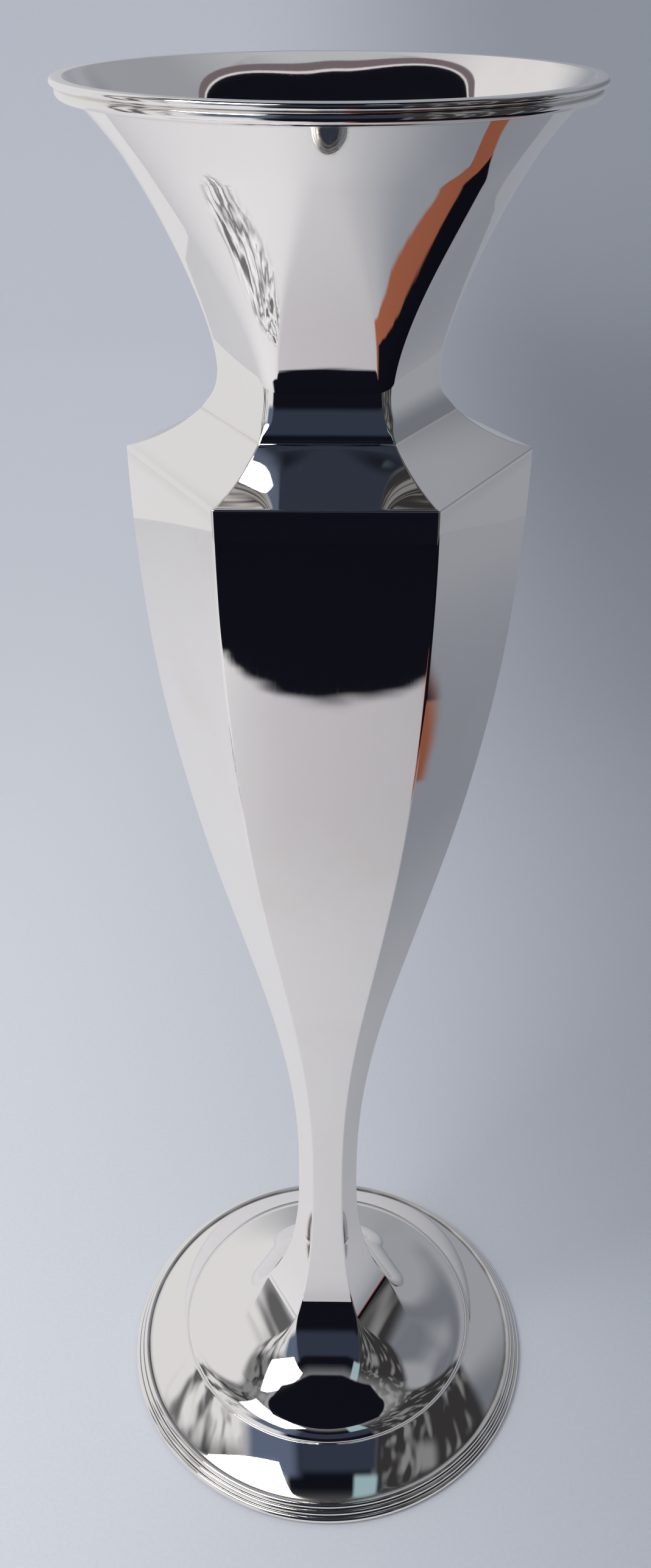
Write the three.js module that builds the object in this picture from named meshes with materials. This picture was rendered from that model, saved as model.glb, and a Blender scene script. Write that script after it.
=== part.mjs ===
// A tall silver flower vase: a trumpet mouth on a six-sided body with a slim stem and a round domed foot.
// Millimetres, +Z up. The origin is on the table under the middle of the foot, and a flat side faces -Y.
// Distances from the axis to a six-sided piece are taken at the middle of a flat, and called apothems.
import * as THREE from 'three';

// Whole vase
const SIDES = 6;
const SHEET = 1.0; // gauge of the silver sheet
const SOLDER_GAP = 0.1; // film of solder between neighbouring pieces

// Foot, from its outer edge up to the stem
const FLANGE_HEIGHT = 6.2; // top of the sheet where it meets the rim wire
const COVE_WIDTH = 15.1;
const COVE_HEIGHT = 10;
const COVE_OUTER_SLOPE = 26; // degrees below level
const COVE_INNER_SLOPE = 46; // degrees below level
const COVE_OUTER_REACH = 5;
const COVE_INNER_REACH = 5;
const LEDGE = 0.7; // narrow flat between cove and dome
const DOME_WIDTH = 11.1;
const DOME_HEIGHT = 5.8;
const DOME_EDGE_SLOPE = 70; // degrees below level
const DOME_CROWN_SLOPE = 19.5; // degrees below level
const DOME_EDGE_REACH = 3;
const DOME_CROWN_REACH = 5;
const FOOT_FLARE_WIDTH = 33.9; // hollow flare from the dome up to the joint with the stem
const FOOT_FLARE_HEIGHT = 48;
const FOOT_FLARE_LOWER_REACH = 20;
const FOOT_FLARE_UPPER_REACH = 33;
const FOOT_CRISP_HEIGHT = 27; // corners stay sharp this far below the joint

// Foot rim wire
const FOOT_REEDS = 3;
const FOOT_REED_RADIUS = 1.25;
const FOOT_REED_STEP_IN = 1.55; // each reed lies this far inside the one below
const FOOT_REED_STEP_UP = 1.75;
const FOOT_REED_BASE = 1.9; // height of the lowest reed's middle
const FOOT_WIRE_BACK = 1.2; // metal behind the innermost reed's middle

// Stem and body
const JOINT_APOTHEM = 10.6; // stem where it meets the foot
const JOINT_LEAN = 7; // degrees from upright
const STEM_APOTHEM = 9.2; // stem at its slimmest
const STEM_HEIGHT = 34; // from the joint up to the slimmest place
const STEM_REACH = 91; // hollow lower curve of the body
const BODY_REACH = 128; // full upper curve of the body
const BODY_HEIGHT = 267; // from the slimmest place up to the shoulder's edge
const PLUG_THICKNESS = 4;
const PLUG_RISE = 8; // the plug wedges in the taper this far above the slimmest place

// Shoulder
const SHOULDER_APOTHEM = 45.6;
const SHOULDER_RISE = 10;
const SHOULDER_EDGE_SLOPE = 13; // degrees below level
const SHOULDER_CREASE_SLOPE = 46; // degrees below level
const SHOULDER_EDGE_REACH = 7.2;
const SHOULDER_CREASE_REACH = 6.2;

// Trumpet neck and lip
const WAIST_APOTHEM = 24.8;
const WAIST_RISE = 9.5; // from the crease up to the waist
const CREASE_OVERHANG = 3.5; // how far the crease stands outside the waist
const CREASE_SLOPE = 51; // degrees below level
const TRUMPET_HEIGHT = 66.5; // from the waist up to the lip
const LIP_RADIUS = 60.8; // outside of the sheet at the lip
const LIP_LEAN = 45; // degrees from upright
const TRUMPET_LOWER_REACH = 15.5;
const TRUMPET_UPPER_REACH = 23;
const NECK_CRISP_HEIGHT = 4; // corners stay sharp this far above the crease
const NECK_ROUND_BAND = 3; // the neck is round from this far below the rim wire

// Mouth rim wire
const UPPER_REED_RADIUS = 0.8;
const LOWER_REED_RADIUS = 1.4;
const RIM_REED_SETBACK = 1.0; // how far the lower reed lies inside the upper one
const RIM_REED_DROP = 2.1; // lower reed's middle below the upper one's

// Fineness of the curved surfaces
const SEGMENTS_PER_SIDE = 8;
const SHORT_CURVE_STEPS = 4;
const CURVE_STEPS = 8;
const TRUMPET_STEPS = 14;
const BODY_STEPS = 20;
const REED_STEPS = 4;

// Heights and widths that follow from the sizes above
const HALF_SIDE = Math.PI / SIDES;
const DOME_EDGE_Z = FLANGE_HEIGHT + COVE_HEIGHT;
const DOME_CROWN_Z = DOME_EDGE_Z + DOME_HEIGHT;
const JOINT_Z = DOME_CROWN_Z + FOOT_FLARE_HEIGHT;
const SLIMMEST_Z = JOINT_Z + STEM_HEIGHT;
const SHOULDER_Z = SLIMMEST_Z + BODY_HEIGHT;
const CREASE_Z = SHOULDER_Z + SHOULDER_RISE;
const WAIST_Z = CREASE_Z + WAIST_RISE;
const LIP_Z = WAIST_Z + TRUMPET_HEIGHT;
const CREASE_APOTHEM = WAIST_APOTHEM + CREASE_OVERHANG;
const DOME_CROWN_RADIUS = JOINT_APOTHEM + FOOT_FLARE_WIDTH;
const DOME_EDGE_RADIUS = DOME_CROWN_RADIUS + DOME_WIDTH;
const FLANGE_RADIUS = DOME_EDGE_RADIUS + LEDGE + COVE_WIDTH;

const { degToRad, euclideanModulo, mapLinear, smoothstep } = THREE.MathUtils;
const point = (x, y) => new THREE.Vector2(x, y);

// A point reached from another by going a distance in a direction, in degrees anticlockwise from level.
function reach(from, distance, degrees) {
  const angle = degToRad(degrees);
  return point(from.x + distance * Math.cos(angle), from.y + distance * Math.sin(angle));
}

function bezier(start, startHandle, endHandle, end, steps) {
  return new THREE.CubicBezierCurve(start, startHandle, endHandle, end).getPoints(steps);
}

// Joins runs of points into one line, without repeating the points where they meet.
function chain(...runs) {
  return runs.flatMap((run, index) => (index === 0 ? run : run.slice(1)));
}

// Distance from the axis where a line of points crosses a height.
function radiusAt(line, height) {
  const index = line.findIndex((p, i) => i > 0 && (p.y - height) * (line[i - 1].y - height) <= 0);
  const [low, high] = [line[index - 1], line[index]];
  return mapLinear(height, low.y, high.y, low.x, high.x);
}

// The back of a sheet whose face is a line that climbs: each point goes in by the sheet's gauge.
// Each end is cut level or upright where it meets its neighbour.
function sheetBack(face, startCut, endCut) {
  const last = face.length - 1;
  return face.map((p, i) => {
    const along = face[Math.min(i + 1, last)].clone().sub(face[Math.max(i - 1, 0)]).normalize();
    const normal = point(along.y, -along.x);
    const ends = { 0: startCut, [last]: endCut };
    if (ends[i] === 'level') return point(p.x - SHEET / normal.x, p.y);
    if (ends[i] === 'upright') return point(p.x, p.y - SHEET / normal.y);
    return p.clone().addScaledVector(normal, -SHEET);
  });
}

// Closed outline of a sheet: up its face and down its back.
function sheetOutline(face, startCut, endCut) {
  return [...face, ...sheetBack(face, startCut, endCut).reverse()];
}

// Faces of the vase as lines that climb, each point giving the distance from the axis and the height.
function footFace() {
  const flange = point(FLANGE_RADIUS, FLANGE_HEIGHT);
  const ledge = point(DOME_EDGE_RADIUS + LEDGE, DOME_EDGE_Z);
  const edge = point(DOME_EDGE_RADIUS, DOME_EDGE_Z);
  const crown = point(DOME_CROWN_RADIUS, DOME_CROWN_Z);
  const joint = point(JOINT_APOTHEM, JOINT_Z - SOLDER_GAP);
  const cove = bezier(flange, reach(flange, COVE_OUTER_REACH, 180 - COVE_OUTER_SLOPE),
    reach(ledge, COVE_INNER_REACH, -COVE_INNER_SLOPE), ledge, CURVE_STEPS);
  const dome = bezier(edge, reach(edge, DOME_EDGE_REACH, 180 - DOME_EDGE_SLOPE),
    reach(crown, DOME_CROWN_REACH, -DOME_CROWN_SLOPE), crown, CURVE_STEPS);
  const flare = bezier(crown, reach(crown, FOOT_FLARE_LOWER_REACH, 180 - DOME_CROWN_SLOPE),
    reach(joint, FOOT_FLARE_UPPER_REACH, JOINT_LEAN - 90), joint, CURVE_STEPS);
  return [...cove, ...chain(dome, flare)];
}

function bodyFace() {
  const joint = point(JOINT_APOTHEM, JOINT_Z);
  const slimmest = point(STEM_APOTHEM, SLIMMEST_Z);
  const top = point(SHOULDER_APOTHEM, shoulderBack()[0].y - SOLDER_GAP);
  const stem = bezier(joint, reach(joint, STEM_HEIGHT / 3, 90 + JOINT_LEAN),
    reach(slimmest, STEM_HEIGHT / 3, -90), slimmest, SHORT_CURVE_STEPS);
  const side = bezier(slimmest, reach(slimmest, STEM_REACH, 90), reach(top, BODY_REACH, -90), top, BODY_STEPS);
  return chain(stem, side);
}

function shoulderFace() {
  const edge = point(SHOULDER_APOTHEM, SHOULDER_Z);
  const crease = point(CREASE_APOTHEM, CREASE_Z - SOLDER_GAP);
  return bezier(edge, reach(edge, SHOULDER_EDGE_REACH, 180 - SHOULDER_EDGE_SLOPE),
    reach(crease, SHOULDER_CREASE_REACH, -SHOULDER_CREASE_SLOPE), crease, CURVE_STEPS);
}

function shoulderBack() {
  return sheetBack(shoulderFace(), 'upright', 'level');
}

function neckFace() {
  const crease = point(CREASE_APOTHEM, CREASE_Z);
  const waist = point(WAIST_APOTHEM, WAIST_Z);
  const lip = point(LIP_RADIUS, LIP_Z);
  const hollow = bezier(crease, reach(crease, WAIST_RISE / 3, 180 - CREASE_SLOPE),
    reach(waist, WAIST_RISE / 3, -90), waist, SHORT_CURVE_STEPS);
  const trumpet = bezier(waist, reach(waist, TRUMPET_LOWER_REACH, 90),
    reach(lip, TRUMPET_UPPER_REACH, -90 - LIP_LEAN), lip, TRUMPET_STEPS);
  return chain(hollow, trumpet);
}

// Middles of the mouth wire's two reeds, and the height of the wire's underside.
function rimReeds() {
  const upper = point(LIP_RADIUS + SOLDER_GAP + UPPER_REED_RADIUS, LIP_Z - UPPER_REED_RADIUS);
  const lower = point(upper.x + UPPER_REED_RADIUS - RIM_REED_SETBACK - LOWER_REED_RADIUS,
    upper.y - RIM_REED_DROP);
  return { upper, lower, underside: lower.y - LOWER_REED_RADIUS };
}

// How far a six-sided section with softened corners lies from the axis, for a flat at distance 1.
// Softness runs from 0, sharp corners, to 1, a circle.
function sectionRadius(angle, softness) {
  const fromFlat = Math.abs(euclideanModulo(angle + HALF_SIDE, 2 * HALF_SIDE) - HALF_SIDE);
  if (Math.tan(fromFlat) <= (1 - softness) * Math.tan(HALF_SIDE)) return 1 / Math.cos(fromFlat);
  const centre = (1 - softness) / Math.cos(HALF_SIDE);
  const fromCorner = HALF_SIDE - fromFlat;
  const rest = softness ** 2 - (centre * Math.sin(fromCorner)) ** 2;
  return centre * Math.cos(fromCorner) + Math.sqrt(Math.max(rest, 0));
}

// Turns a closed outline round the upright axis.
function turned(outline, segments = SIDES * SEGMENTS_PER_SIDE, start = 0) {
  return new THREE.LatheGeometry([...outline, outline[0]], segments, start).rotateX(Math.PI / 2);
}

// Presses a turned shell into flats, with corners whose softness changes with height.
function pressed(geometry, softnessAt) {
  const position = geometry.getAttribute('position');
  for (let i = 0; i < position.count; i += 1) {
    const [x, y, z] = [position.getX(i), position.getY(i), position.getZ(i)];
    const scale = sectionRadius(Math.atan2(x, -y), softnessAt(z));
    position.setXY(i, x * scale, y * scale);
  }
  return geometry;
}

// One flat side of the vase: an outline given width, with both edges mitred to meet the next sides.
function panel(outline) {
  const geometry = new THREE.ExtrudeGeometry(new THREE.Shape(outline), { depth: 2, bevelEnabled: false });
  const position = geometry.getAttribute('position');
  const film = SOLDER_GAP / 2 / Math.cos(HALF_SIDE);
  for (let i = 0; i < position.count; i += 1) {
    const [apothem, height] = [position.getX(i), position.getY(i)];
    const across = (1 - position.getZ(i)) * (apothem * Math.tan(HALF_SIDE) - film);
    position.setXYZ(i, across, -apothem, height);
  }
  return geometry;
}

// Part of a round reed's outline, anticlockwise between two angles in degrees.
function reedArc(centre, radius, from, to) {
  const arc = new THREE.EllipseCurve(centre.x, centre.y, radius, radius, degToRad(from), degToRad(to));
  return arc.getPoints(REED_STEPS);
}

function footWireGeometry() {
  const inner = FLANGE_RADIUS + SOLDER_GAP;
  const outer = inner + FOOT_WIRE_BACK + (FOOT_REEDS - 1) * FOOT_REED_STEP_IN;
  const reeds = Array.from({ length: FOOT_REEDS }, (_, i) => {
    const centre = point(outer - i * FOOT_REED_STEP_IN, FOOT_REED_BASE + i * FOOT_REED_STEP_UP);
    return reedArc(centre, FOOT_REED_RADIUS, i === 0 ? -60 : 0, 90);
  });
  return turned([point(inner, 0), point(outer, 0), ...reeds.flat(), point(inner, FLANGE_HEIGHT)]);
}

function footGeometry() {
  const softness = (z) => 1 - smoothstep(z, DOME_EDGE_Z, JOINT_Z - FOOT_CRISP_HEIGHT);
  return pressed(turned(sheetOutline(footFace(), 'upright', 'level')), softness);
}

function stemPlugGeometry() {
  const wall = sheetBack(bodyFace(), 'level', 'level');
  const cornerAt = (height) => (radiusAt(wall, height) - SOLDER_GAP) / Math.cos(HALF_SIDE);
  const bottom = SLIMMEST_Z + PLUG_RISE;
  const top = bottom + PLUG_THICKNESS;
  const outline = [point(0, bottom), point(cornerAt(bottom), bottom), point(cornerAt(top), top), point(0, top)];
  return turned(outline, SIDES, HALF_SIDE);
}

function bodyPanelGeometry() {
  return panel(sheetOutline(bodyFace(), 'level', 'level'));
}

function shoulderPanelGeometry() {
  return panel(sheetOutline(shoulderFace(), 'upright', 'level'));
}

function neckGeometry() {
  const roundAbove = rimReeds().underside - NECK_ROUND_BAND;
  const softness = (z) => smoothstep(z, CREASE_Z + NECK_CRISP_HEIGHT, roundAbove);
  return pressed(turned(sheetOutline(neckFace(), 'level', 'level')), softness);
}

function rimWireGeometry() {
  const { upper, lower, underside } = rimReeds();
  const neck = neckFace();
  const seat = [LIP_Z, upper.y, lower.y, underside];
  return turned([
    ...reedArc(lower, LOWER_REED_RADIUS, -90, 50),
    ...reedArc(upper, UPPER_REED_RADIUS, -30, 90),
    ...seat.map((height) => point(radiusAt(neck, height) + SOLDER_GAP, height)),
  ]);
}

const vase = new THREE.Group();

function addPiece(name, geometry, roughness, turn = 0) {
  const silver = new THREE.MeshStandardMaterial({ color: 0xd9d8d6, metalness: 1, roughness });
  const piece = new THREE.Mesh(geometry, silver);
  piece.name = name;
  piece.rotation.z = turn;
  vase.add(piece);
}

const POLISHED = 0.06;
const UNPOLISHED = 0.35;

addPiece('foot_rim_wire', footWireGeometry(), POLISHED);
addPiece('foot', footGeometry(), POLISHED);
addPiece('stem_plug', stemPlugGeometry(), UNPOLISHED);
for (let side = 0; side < SIDES; side += 1) {
  addPiece(`body_panel_${side + 1}`, bodyPanelGeometry(), POLISHED, side * 2 * HALF_SIDE);
  addPiece(`shoulder_panel_${side + 1}`, shoulderPanelGeometry(), POLISHED, side * 2 * HALF_SIDE);
}
addPiece('trumpet_neck', neckGeometry(), POLISHED);
addPiece('mouth_rim_wire', rimWireGeometry(), POLISHED);

export default vase;
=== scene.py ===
"""Looks of a tall silver flower vase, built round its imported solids.

Lengths are in metres and +Z is up. The origin is on the table under the middle of the foot, and
one of the six flat sides faces -Y. Distances from the axis to a six-sided piece are taken at the
middle of a flat and called apothems.
"""

import logging
import math
from collections.abc import Callable
from dataclasses import dataclass, field
from enum import Enum

import bmesh
import bpy
from mathutils import Color, Matrix, Vector, noise
from mathutils.geometry import interpolate_bezier


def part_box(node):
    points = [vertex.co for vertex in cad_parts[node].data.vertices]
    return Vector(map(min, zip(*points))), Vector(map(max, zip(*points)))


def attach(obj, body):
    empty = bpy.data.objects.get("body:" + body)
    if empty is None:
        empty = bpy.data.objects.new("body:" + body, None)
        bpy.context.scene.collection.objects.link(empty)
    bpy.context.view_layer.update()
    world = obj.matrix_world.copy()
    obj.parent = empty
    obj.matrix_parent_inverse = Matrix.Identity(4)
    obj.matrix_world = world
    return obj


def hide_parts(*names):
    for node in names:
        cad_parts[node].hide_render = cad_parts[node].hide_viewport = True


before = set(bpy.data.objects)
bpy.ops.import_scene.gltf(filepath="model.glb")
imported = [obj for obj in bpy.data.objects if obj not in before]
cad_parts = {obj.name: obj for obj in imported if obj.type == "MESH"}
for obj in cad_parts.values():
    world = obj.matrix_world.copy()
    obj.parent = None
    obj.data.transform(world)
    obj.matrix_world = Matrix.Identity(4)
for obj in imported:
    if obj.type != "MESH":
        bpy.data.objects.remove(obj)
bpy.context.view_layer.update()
log = logging.getLogger("silver_vase")

MM = 0.001
SIDES = 6
SIDE_ANGLE = math.tau / SIDES
HALF_SIDE = SIDE_ANGLE / 2
SHEET = 1.0 * MM  # gauge of the silver sheet
ARRIS = 0.8 * MM  # radius of the corner between two flats
JOINT_APOTHEM = 10.6 * MM  # stem where it meets the foot
JOINT_LEAN = 7  # degrees from upright
FLAT_COLUMNS = 0.66  # share of a side's columns that lie on its flat where the corners are sharp
WIRE_STEPS = 256  # steps round a wire
CREVICE = "crevice"  # attribute that says how deep in a groove or seam a point lies

Outline = list[Vector]
Softness = Callable[[float, float], float]
Paint = tuple[float, float, float, float]
Place = tuple[float, float, float]
Span = tuple[float, float]
Stops = tuple[tuple[float, Paint], ...]
Piece = bpy.types.Object
Socket = bpy.types.NodeSocket
Input = float | tuple[float, ...] | Socket


class Cut(Enum):
    """How the end of a sheet is cut where it meets its neighbour."""

    LEVEL = "level"
    UPRIGHT = "upright"


class SeenBy(Enum):
    """What a part of the studio shows itself to."""

    ALL = "all"
    METAL = "metal"


def spot(apothem: float, height: float) -> Vector:
    """A point of an outline."""
    return Vector((apothem, height))


def reach(start: Vector, distance: float, degrees: float) -> Vector:
    """Finds a point by going from another in a direction.

    Args:
        start: The point to go from.
        distance: How far to go.
        degrees: The direction, anticlockwise from level and outward.

    Returns:
        The point reached.
    """
    angle = math.radians(degrees)
    return start + distance * Vector((math.cos(angle), math.sin(angle)))


def bezier(start: Vector, start_handle: Vector, end_handle: Vector, end: Vector, steps: int) -> Outline:
    """Draws a cubic curve.

    Args:
        start: The first point.
        start_handle: The handle that the curve leaves towards.
        end_handle: The handle that the curve arrives from.
        end: The last point.
        steps: How many straight steps stand for the curve.

    Returns:
        The points, one more than the steps.
    """
    return interpolate_bezier(start, start_handle, end_handle, end, steps + 1)


def arc(centre: Vector, radius: float, first: float, last: float, steps: int = 12) -> Outline:
    """Draws part of a circle.

    Args:
        centre: The circle's middle.
        radius: The circle's radius.
        first: Direction of the first point from the middle, in degrees.
        last: Direction of the last point, anticlockwise from the first.
        steps: How many straight steps stand for the arc.

    Returns:
        The points, one more than the steps.
    """
    return [reach(centre, radius, first + (last - first) * i / steps) for i in range(steps + 1)]


def apothem_at(face: Outline, height: float) -> float:
    """Distance from the axis at which a climbing line crosses a height.

    Args:
        face: The line.
        height: The height.

    Returns:
        The distance from the axis.
    """
    for low, high in zip(face, face[1:]):
        if low.y <= height <= high.y:
            return low.x + (high.x - low.x) * (height - low.y) / (high.y - low.y)
    return face[-1].x


def smoothstep(value: float, low: float, high: float) -> float:
    """An even change from 0 at one value to 1 at another."""
    share = min(max((value - low) / (high - low), 0.0), 1.0)
    return share * share * (3 - 2 * share)


def shade(red: float, green: float, blue: float) -> Paint:
    """A colour for Blender, from its values in a picture, 0 to 255."""
    linear = Color((red / 255, green / 255, blue / 255)).from_srgb_to_scene_linear()
    return (linear.r, linear.g, linear.b, 1.0)


GLOOM = shade(16, 17, 26)  # the studio's darkest colour, for the painted dark reflections and the paper's grain


def sheet_outline(face: Outline, start_cut: Cut, end_cut: Cut, lining: Outline | None = None) -> Outline:
    """Closed outline of a sheet whose face is a line that climbs.

    Args:
        face: The line of the outer face.
        start_cut: How the sheet ends at the face's first point.
        end_cut: How it ends at the last one.
        lining: The line that the back lies a sheet's gauge behind, if that isn't the face.

    Returns:
        The points up the face and down the back.
    """
    line = lining or face
    last = len(line) - 1
    cuts = {0: start_cut, last: end_cut}
    back = []
    for i, here in enumerate(line):
        along = (line[min(i + 1, last)] - line[max(i - 1, 0)]).normalized()
        normal = Vector((along.y, -along.x))
        if cuts.get(i) is Cut.LEVEL:
            back.append(here - Vector((SHEET / normal.x, 0)))
        elif cuts.get(i) is Cut.UPRIGHT:
            back.append(here - Vector((0, SHEET / normal.y)))
        else:
            back.append(here - SHEET * normal)
    return face + back[::-1]


def pressed_section(across: float, softness: float) -> Vector:
    """A point on one side of a six-sided section whose flats lie at distance 1.

    Args:
        across: Place along the side, from -1 at one corner to 1 at the next.
        softness: Radius of the corners, from 0, sharp, to 1, a circle.

    Returns:
        The point, as a distance along the flat and one out from the axis.
    """
    flat_share = FLAT_COLUMNS * (1 - softness)
    flat_half = (1 - softness) * math.tan(HALF_SIDE)
    if abs(across) < flat_share:
        return Vector((flat_half * math.sin(across / flat_share * math.pi / 2), 1))
    angle = HALF_SIDE * (abs(across) - flat_share) / (1 - flat_share)
    along = flat_half + softness * math.sin(angle)
    return Vector((math.copysign(along, across), 1 - softness + softness * math.cos(angle)))


def crisp_corners(apothem: float, height: float) -> float:
    """Softness of a crisp corner between two flats, whatever the height."""
    return min(ARRIS / apothem, 1.0)


def melting_corners(round_at: float, crisp_at: float) -> Softness:
    """Rule for corners that melt into a round.

    Args:
        round_at: Height from which the section is round.
        crisp_at: Height from which the corners are crisp, above or below the other.

    Returns:
        A function that gives the softness for an apothem and a height.
    """

    def softness(apothem: float, height: float) -> float:
        """Softness at an apothem and a height."""
        melted = 1 - smoothstep(height, round_at, crisp_at)
        return max(melted, crisp_corners(apothem, height))

    return softness


@dataclass(frozen=True)
class Landmarks:
    """Heights and apothems that the solids fix."""

    flange_apothem: float
    flange_underside: float
    joint_height: float
    stem_apothem: float
    shoulder_apothem: float
    crease_height: float
    lip_height: float
    lip_apothem: float

    @classmethod
    def read(cls) -> "Landmarks":
        """Takes the landmarks from the boxes of the solids.

        Returns:
            The landmarks.
        """
        foot_low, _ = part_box("foot")
        body_low, body_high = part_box("body_panel_1")
        neck_low, neck_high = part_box("trumpet_neck")
        return cls(
            flange_apothem=-foot_low.y,
            flange_underside=foot_low.z,
            joint_height=body_low.z,
            stem_apothem=SHEET - body_high.y,
            shoulder_apothem=-body_low.y,
            crease_height=neck_low.z,
            lip_height=neck_high.z,
            lip_apothem=-neck_low.y,
        )


@dataclass(frozen=True)
class HandWork:
    """The slight unevenness that planishing leaves in hand-raised sheet."""

    wavelength: float = 42 * MM
    depth: float = 0.2 * MM
    still_below: float = 20 * MM  # the foot's dome and wires run true
    still_above: float = 446 * MM  # so does the lip
    fade: float = 26 * MM

    def shift(self, place: Vector) -> float:
        """Finds how far the metal stands out.

        Args:
            place: The place on the metal.

        Returns:
            The distance, away from the axis.
        """
        rise = smoothstep(place.z, self.still_below, self.still_below + self.fade)
        fall = 1 - smoothstep(place.z, self.still_above - self.fade, self.still_above)
        return self.depth * rise * fall * noise.noise(place / self.wavelength)


class NodeSheet:
    """A node tree that is filled from its sources to its output."""

    def __init__(self, tree: bpy.types.NodeTree) -> None:
        """Starts with an empty tree."""
        self.tree = tree
        tree.nodes.clear()

    def add(self, kind: str, inputs: dict[str | int, Input], **settings: object) -> bpy.types.Node:
        """Adds a node.

        Args:
            kind: The node's type.
            inputs: A value, or the socket to take it from, for each input that isn't left as it is.
            settings: Options of the node.

        Returns:
            The new node.
        """
        node = self.tree.nodes.new(kind)
        for name, setting in settings.items():
            setattr(node, name, setting)
        for name, value in inputs.items():
            if isinstance(value, Socket):
                self.tree.links.new(value, node.inputs[name])
            else:
                node.inputs[name].default_value = value
        return node

    def math(self, operation: str, *values: Input) -> Socket:
        """Result of a sum on one or more values."""
        return self.add("ShaderNodeMath", dict(enumerate(values)), operation=operation).outputs[0]

    def mix(self, share: Input, first: Input, second: Input) -> Socket:
        """Colour that goes from a first to a second as the share goes from 0 to 1."""
        node = self.add("ShaderNodeMix", {0: share, 6: first, 7: second}, data_type="RGBA")
        return node.outputs[2]

    def stretch(self, value: Input, low: float, high: float, first: float = 0.0,
                last: float = 1.0) -> Socket:
        """Changes a value's range.

        Args:
            value: The value.
            low: The value that gives the first result.
            high: The value that gives the last.
            first: The first result.
            last: The last result.

        Returns:
            The result, which stays between the first and the last.
        """
        inputs = {"Value": value, "From Min": low, "From Max": high, "To Min": first, "To Max": last}
        return self.add("ShaderNodeMapRange", inputs, interpolation_type="SMOOTHSTEP").outputs[0]

    def band(self, value: Input, low: float, high: float, blur: float) -> Socket:
        """Marks the values between two others.

        Args:
            value: The value.
            low: Where the band begins.
            high: Where it ends.
            blur: How far each of its edges fades.

        Returns:
            1 in the band and 0 outside it.
        """
        return self.product(self.stretch(value, low, low + blur), self.stretch(value, high, high - blur))

    def product(self, first: Input, *others: Input) -> Socket:
        """Product of two or more values."""
        for other in others:
            first = self.math("MULTIPLY", first, other)
        return first

    def distance(self, place: Input, centre: Place) -> Socket:
        """Distance of a place from a centre."""
        node = self.add("ShaderNodeVectorMath", {0: place, 1: centre}, operation="DISTANCE")
        return node.outputs["Value"]

    def ramp(self, share: Input, stops: Stops) -> Socket:
        """Colour that runs through stops.

        Args:
            share: The place along the ramp.
            stops: Places from 0 to 1 and their colours.

        Returns:
            The colour.
        """
        node = self.add("ShaderNodeValToRGB", {"Fac": share})
        elements = node.color_ramp.elements
        while len(elements) < len(stops):
            elements.new(1.0)
        for element, (place, colour) in zip(elements, stops):
            element.position = place
            element.color = colour
        return node.outputs["Color"]

    def place(self) -> Socket:
        """The place on the piece, in its own coordinates."""
        return self.add("ShaderNodeTexCoord", {}).outputs["Object"]

    def split(self, place: Input) -> tuple[Socket, Socket, Socket]:
        """How far a place lies across to the right, along to the rear and up."""
        return tuple(self.add("ShaderNodeSeparateXYZ", {0: place}).outputs)

    def direction(self) -> Socket:
        """Finds the direction from the upright axis.

        Returns:
            The direction, from 0 to 1 round to the right, with the front at 0.5.
        """
        across, along, _ = self.split(self.place())
        angle = self.math("ARCTAN2", across, self.math("MULTIPLY", along, -1.0))
        return self.math("MULTIPLY_ADD", angle, 1 / math.tau, 0.5)

    def noise(self, place: Input, scale: float, detail: float) -> Socket:
        """A soft random value from 0 to 1.

        Args:
            place: Where on the piece.
            scale: Waves per metre.
            detail: How many finer layers lie on the first.

        Returns:
            The value.
        """
        inputs = {"Vector": place, "Scale": scale, "Detail": detail}
        return self.add("ShaderNodeTexNoise", inputs).outputs[0]

    def sway(self, place: Input, scale: float, detail: float, height: float) -> Socket:
        """A soft random length, half the height to one side of 0 or to the other at most."""
        return self.math("MULTIPLY_ADD", self.noise(place, scale, detail), height, -height / 2)

    def turned(self, place: Input, degrees: Place, scale: Place) -> Socket:
        """A place stretched and then turned, for a pattern that runs one way.

        Args:
            place: The place.
            degrees: Turn about each axis, which keeps one pattern from falling in with another.
            scale: Waves along each axis, as a share of those of the pattern.

        Returns:
            The changed place.
        """
        turn = tuple(math.radians(angle) for angle in degrees)
        inputs = {"Vector": place, "Rotation": turn, "Scale": scale}
        return self.add("ShaderNodeMapping", inputs, vector_type="POINT").outputs[0]


class Effect:
    """A surface effect that several finishes share, as a group of nodes."""

    def __init__(self, name: str, inputs: dict[str, str], outputs: list[str]) -> None:
        """Starts the group.

        Args:
            name: The group's name.
            inputs: Type of socket for each input, by name.
            outputs: Names of the outputs, which are plain values.
        """
        self.group = bpy.data.node_groups.new(name, "ShaderNodeTree")
        for label, kind in inputs.items():
            self.group.interface.new_socket(label, in_out="INPUT", socket_type=kind)
        for label in outputs:
            self.group.interface.new_socket(label, in_out="OUTPUT", socket_type="NodeSocketFloat")
        self.sheet = NodeSheet(self.group)
        self.source = self.sheet.add("NodeGroupInput", {}).outputs

    def close(self, results: dict[str, Socket]) -> None:
        """Joins the results to the outputs."""
        self.sheet.add("NodeGroupOutput", results)

    def use(self, sheet: NodeSheet, inputs: dict[str, Input]) -> bpy.types.NodeOutputs:
        """Places the effect in a finish.

        Args:
            sheet: The finish's nodes.
            inputs: The effect's inputs there.

        Returns:
            The effect's outputs, by name.
        """
        return sheet.add("ShaderNodeGroup", inputs, node_tree=self.group).outputs


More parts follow.
